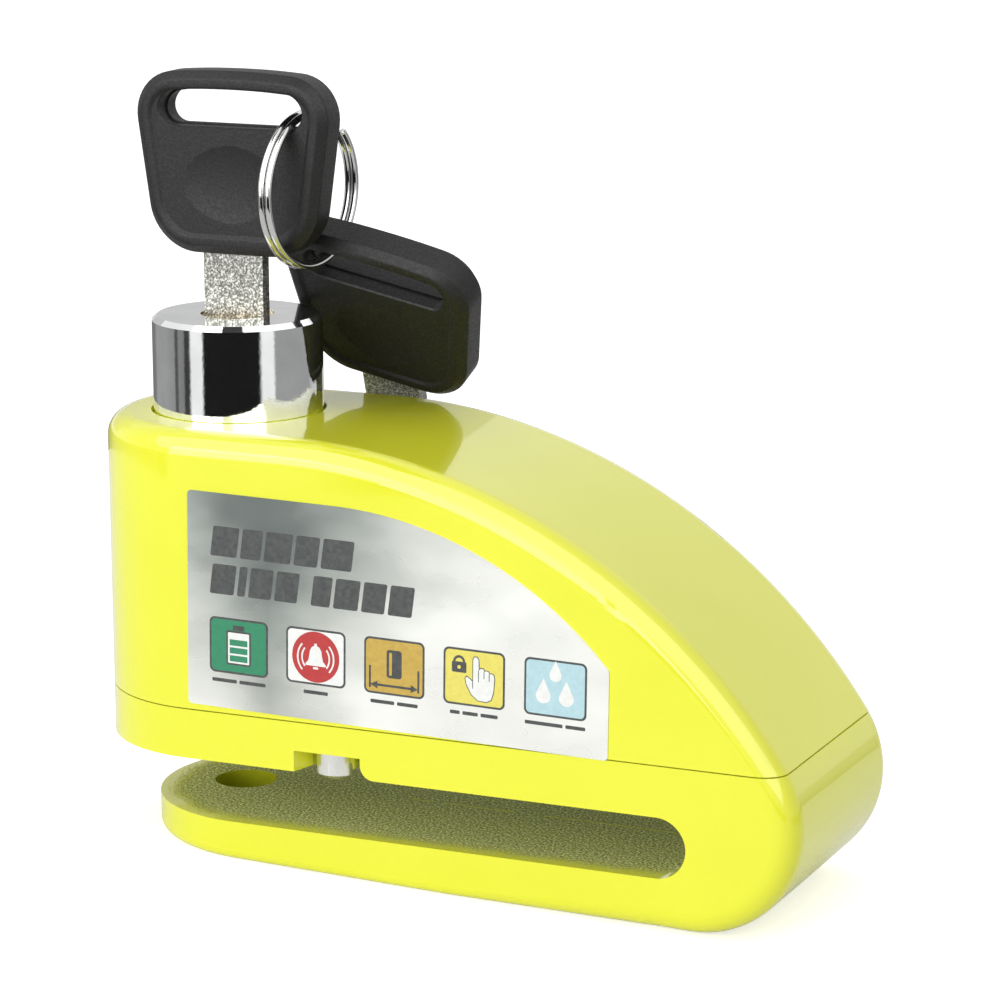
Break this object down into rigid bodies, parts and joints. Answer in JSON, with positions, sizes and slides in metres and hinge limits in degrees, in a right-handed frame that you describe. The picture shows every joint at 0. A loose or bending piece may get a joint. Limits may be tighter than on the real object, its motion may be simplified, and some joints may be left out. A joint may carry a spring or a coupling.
{
  "type": "disc brake lock",
  "caption": "Motorcycle disc brake lock with a slotted body, press-down lock barrel, key alarm inside and two keys on a split ring.",
  "frame": {"origin": "on the lock pin's axis, at the floor of the disc slot", "axes": "+X towards the closed end of the disc slot, +Z along the lock pin away from the floor of the slot, -Y is the labelled side"},
  "size_m": [0.0919, 0.0463, 0.0927],
  "materials": {
    "yellow_paint": "gloss powder paint, blasted casting inside the slot",
    "bright_chrome": "polished",
    "hardened_pin": "ground",
    "machine_steel": "turned, zinc plated",
    "spring_steel": "drawn wire",
    "brass_lock": "machined",
    "nickel_blade": "bead blasted nickel",
    "black_key": "fine grain",
    "black_rubber": "matte",
    "foil_label": "printed silver film",
    "module_plastic": "moulded",
    "white_plastic": "moulded",
    "board_green": "solder mask",
    "cell_steel": "nickel plated",
    "piezo_brass": "sheet",
    "bronze_leaf": "sheet"
  },
  "bodies": {
    "housing": {"base_casting": "yellow_paint", "cover": "yellow_paint", "cover_gasket": "black_rubber", "cover_screws": "bright_chrome", "label_plate": "foil_label", "barrel_o_ring": "black_rubber", "barrel_stop_pin": "machine_steel", "return_spring": "spring_steel", "module_tray": "module_plastic", "module_lid": "module_plastic", "button_cells": "cell_steel", "battery_contacts": "bronze_leaf", "circuit_board": "board_green", "board_components": "module_plastic", "shock_sensor": "module_plastic", "siren_housing": "white_plastic", "piezo_disc": "piezo_brass", "sound_membrane": "white_plastic", "arming_contact": "bronze_leaf"},
    "barrel": {"barrel": "bright_chrome", "barrel_foot": "machine_steel", "lock_pin": "hardened_pin", "lock_pin_cross_pin": "machine_steel", "foot_cross_pin": "machine_steel", "latch_spring": "spring_steel"},
    "plug": {"key_plug": "brass_lock", "plug_clip": "spring_steel"},
    "wafer_set": {"wafers": "brass_lock"},
    "latch": {"latch": "hardened_pin"},
    "main_key": {"main_key_head": "black_key", "main_key_blade": "nickel_blade"},
    "ring": {"split_ring": "bright_chrome"},
    "spare_key": {"spare_key_head": "black_key", "spare_key_blade": "nickel_blade"}
  },
  "joints": [
    {"name": "barrel_press", "type": "slide", "parent": "housing", "child": "barrel", "axis": [0, 0, -1], "range_m": [0, 0.011], "stiffness_N_per_m": 400, "springref_m": -0.01, "deforming": ["return_spring"]},
    {"name": "plug_turn", "type": "hinge", "parent": "barrel", "child": "plug", "pos_m": [0, 0, 0.046], "axis": [0, 0, 1], "range_deg": [0, 90]},
    {"name": "latch_slide", "type": "slide", "parent": "barrel", "child": "latch", "axis": [1, 0, 0], "range_m": [0, 0.0016]},
    {"name": "key_withdraw", "type": "slide", "parent": "plug", "child": "main_key", "axis": [0, 0, 1], "range_m": [0, 0.016]},
    {"name": "wafer_slide", "type": "slide", "parent": "plug", "child": "wafer_set", "axis": [1, 0, 0], "range_m": [0, 0.0006]},
    {"name": "ring_turn", "type": "hinge", "parent": "main_key", "child": "ring", "pos_m": [0.00867, 0.0021, 0.07217], "axis": [0.991, -0.134, 0], "range_deg": [0, 35]},
    {"name": "spare_key_swing", "type": "hinge", "parent": "ring", "child": "spare_key", "pos_m": [0.00933, 0.007, 0.06471], "axis": [-0.139, -0.8486, -0.5105], "range_deg": [0, 20]}
  ],
  "couplings": [
    {"joint": "latch_slide", "follows": "plug_turn", "m_per_rad": 0.0010186},
    {"joint": "wafer_slide", "follows": "key_withdraw", "ratio": 0.0375},
    {"joint": "ring_turn", "follows": "barrel_press", "rad_per_m": 55.533}
  ]
}
